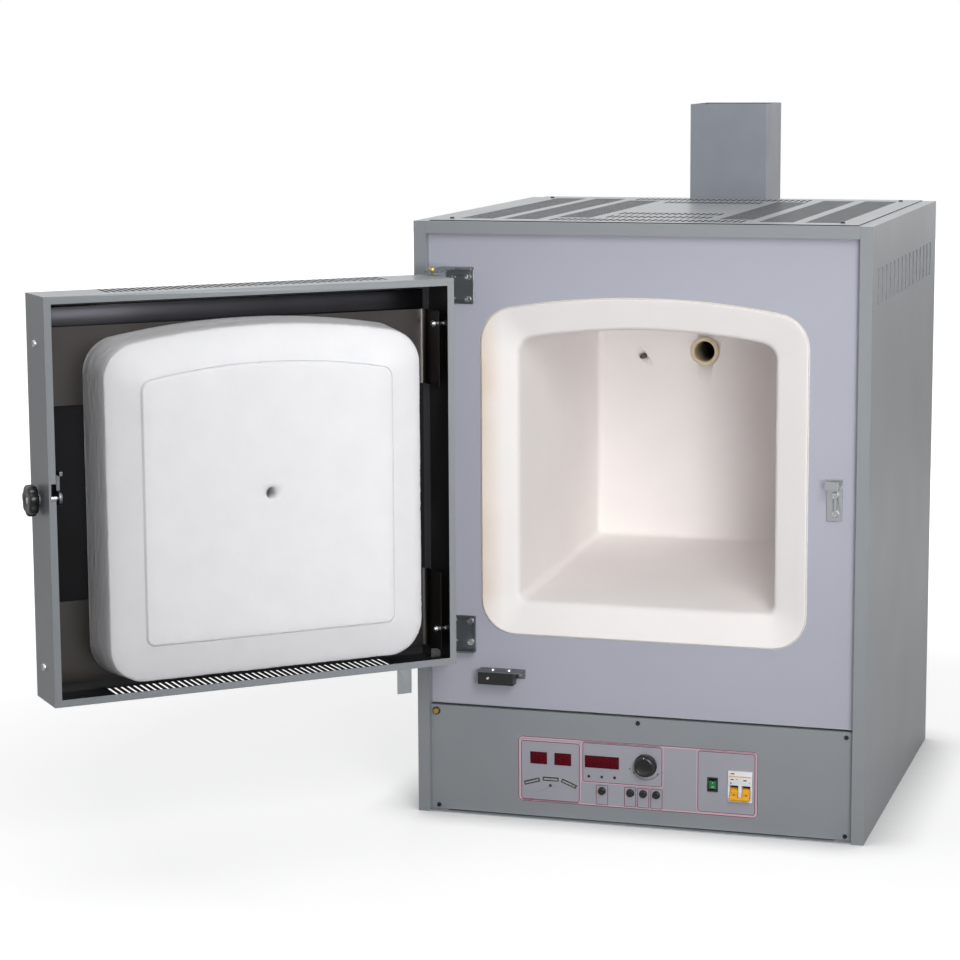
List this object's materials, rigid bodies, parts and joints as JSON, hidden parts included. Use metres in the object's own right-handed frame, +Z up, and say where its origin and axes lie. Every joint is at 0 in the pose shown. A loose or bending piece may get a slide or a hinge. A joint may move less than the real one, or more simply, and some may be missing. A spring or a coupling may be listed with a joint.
{
  "type": "jewellery kiln",
  "caption": "Front loading chamber kiln in a grey steel cabinet with a side hung door, plug liner, exhaust duct and front control panel.",
  "frame": {"origin": "middle of the cabinet's footprint, on the underside of its base plate", "axes": "+Z up, -Y towards the front, where the door opens, +X to the right seen from the front"},
  "size_m": [1.0802, 1.2732, 1.039],
  "materials": {
    "hammered_grey": "satin",
    "lilac_grey": "satin",
    "galvanised_sheet": "matt",
    "fired_fibre": "matt",
    "white_fibre": "matt",
    "vent_ceramic": "matt",
    "stainless": "brushed",
    "black_sheet": "matt",
    "zinc_plate": "satin",
    "yellow_zinc": "satin",
    "bright_screws": "polished",
    "dark_screws": "satin",
    "heating_alloy": "matt",
    "black_plastic": "gloss",
    "grey_nylon": "matt",
    "overlay_film": "satin",
    "red_lens": "gloss",
    "clear_led": "gloss",
    "green_lens": "gloss",
    "white_plastic": "satin",
    "amber_plastic": "satin",
    "circuit_board": "satin",
    "extruded_aluminium": "satin"
  },
  "bodies": {
    "cabinet": {"left_side_panel": "hammered_grey", "right_side_panel": "hammered_grey", "front_top_rail": "hammered_grey", "top_cover": "hammered_grey", "rear_panel": "hammered_grey", "base_plate": "galvanised_sheet", "partition_deck": "galvanised_sheet", "front_panel": "lilac_grey", "control_panel": "hammered_grey", "panel_overlay": "overlay_film", "muffle": "fired_fibre", "insulation_block": "white_fibre", "inner_casing": "galvanised_sheet", "chamber_supports": "galvanised_sheet", "heating_elements": "heating_alloy", "heater_terminals": "vent_ceramic", "thermocouple": "heating_alloy", "vent_tube": "vent_ceramic", "exhaust_duct": "hammered_grey", "fan_frame": "black_plastic", "upper_hinge_bracket": "zinc_plate", "lower_hinge_bracket": "zinc_plate", "hinge_pins": "yellow_zinc", "bracket_screws": "bright_screws", "strike_plate": "zinc_plate", "interlock_bracket": "zinc_plate", "interlock_switch": "black_plastic", "ground_terminal": "yellow_zinc", "casing_screws": "dark_screws", "small_displays": "red_lens", "main_display": "red_lens", "indicator_leds": "clear_led", "button_switches": "grey_nylon", "encoder": "grey_nylon", "rocker_frame": "black_plastic", "breaker_body": "white_plastic", "controller_board": "circuit_board", "heat_sink": "extruded_aluminium", "solid_state_relay": "grey_nylon", "terminal_block": "grey_nylon", "cable_gland": "black_plastic"},
    "door": {"door_shell": "hammered_grey", "door_liner": "white_fibre", "door_backing_board": "black_sheet", "liner_strips": "stainless", "door_screws": "bright_screws", "interlock_tab": "stainless", "peephole_tube": "stainless"},
    "latch": {"latch_knob": "black_plastic", "latch_cam": "zinc_plate"},
    "peephole_flap": {"peephole_cover": "zinc_plate"},
    "plunger": {"interlock_plunger": "grey_nylon"},
    "fan": {"fan_impeller": "black_plastic"},
    "knob": {"setting_knob": "black_plastic"},
    "rocker": {"fan_rocker": "green_lens"},
    "breaker": {"breaker_toggle": "amber_plastic"},
    "mode": {"mode_button": "black_plastic"},
    "up": {"up_button": "black_plastic"},
    "down": {"down_button": "black_plastic"},
    "run": {"run_button": "black_plastic"}
  },
  "joints": [
    {"name": "door_hinge", "type": "hinge", "parent": "cabinet", "child": "door", "pos_m": [-0.2885, -0.3763, 0.532], "axis": [0, 0, 1], "range_deg": [-37.6, 137.4]},
    {"name": "latch_turn", "type": "hinge", "parent": "door", "child": "latch", "pos_m": [-0.71701, -0.79112, 0.533], "axis": [0.7361, 0.6769, 0], "range_deg": [0, 90]},
    {"name": "peephole_swing", "type": "hinge", "parent": "door", "child": "peephole_flap", "pos_m": [-0.51564, -0.55256, 0.561], "axis": [0.6769, -0.7361, 0], "range_deg": [-100, 100]},
    {"name": "interlock_press", "type": "slide", "parent": "cabinet", "child": "plunger", "axis": [0, 1, 0], "range_m": [0, 0.003], "stiffness_N_per_m": 500, "springref_m": -0.001},
    {"name": "fan_spin", "type": "hinge", "parent": "cabinet", "child": "fan", "pos_m": [-0.0046, 0.383, 0.75], "axis": [0, 0, 1], "continuous": true},
    {"name": "knob_turn", "type": "hinge", "parent": "cabinet", "child": "knob", "pos_m": [0.0125, -0.316, 0.092], "axis": [0, 1, 0], "continuous": true},
    {"name": "rocker_tilt", "type": "hinge", "parent": "cabinet", "child": "rocker", "pos_m": [0.1124, -0.304, 0.0707], "axis": [-1, 0, 0], "range_deg": [0, 20]},
    {"name": "breaker_throw", "type": "hinge", "parent": "cabinet", "child": "breaker", "pos_m": [0.1532, -0.303, 0.061], "axis": [-1, 0, 0], "range_deg": [0, 64]},
    {"name": "mode_press", "type": "slide", "parent": "cabinet", "child": "mode", "axis": [0, 1, 0], "range_m": [0, 0.0015], "stiffness_N_per_m": 400, "springref_m": -0.0008},
    {"name": "up_press", "type": "slide", "parent": "cabinet", "child": "up", "axis": [0, 1, 0], "range_m": [0, 0.0015], "stiffness_N_per_m": 400, "springref_m": -0.0008},
    {"name": "down_press", "type": "slide", "parent": "cabinet", "child": "down", "axis": [0, 1, 0], "range_m": [0, 0.0015], "stiffness_N_per_m": 400, "springref_m": -0.0008},
    {"name": "run_press", "type": "slide", "parent": "cabinet", "child": "run", "axis": [0, 1, 0], "range_m": [0, 0.0015], "stiffness_N_per_m": 400, "springref_m": -0.0008}
  ]
}
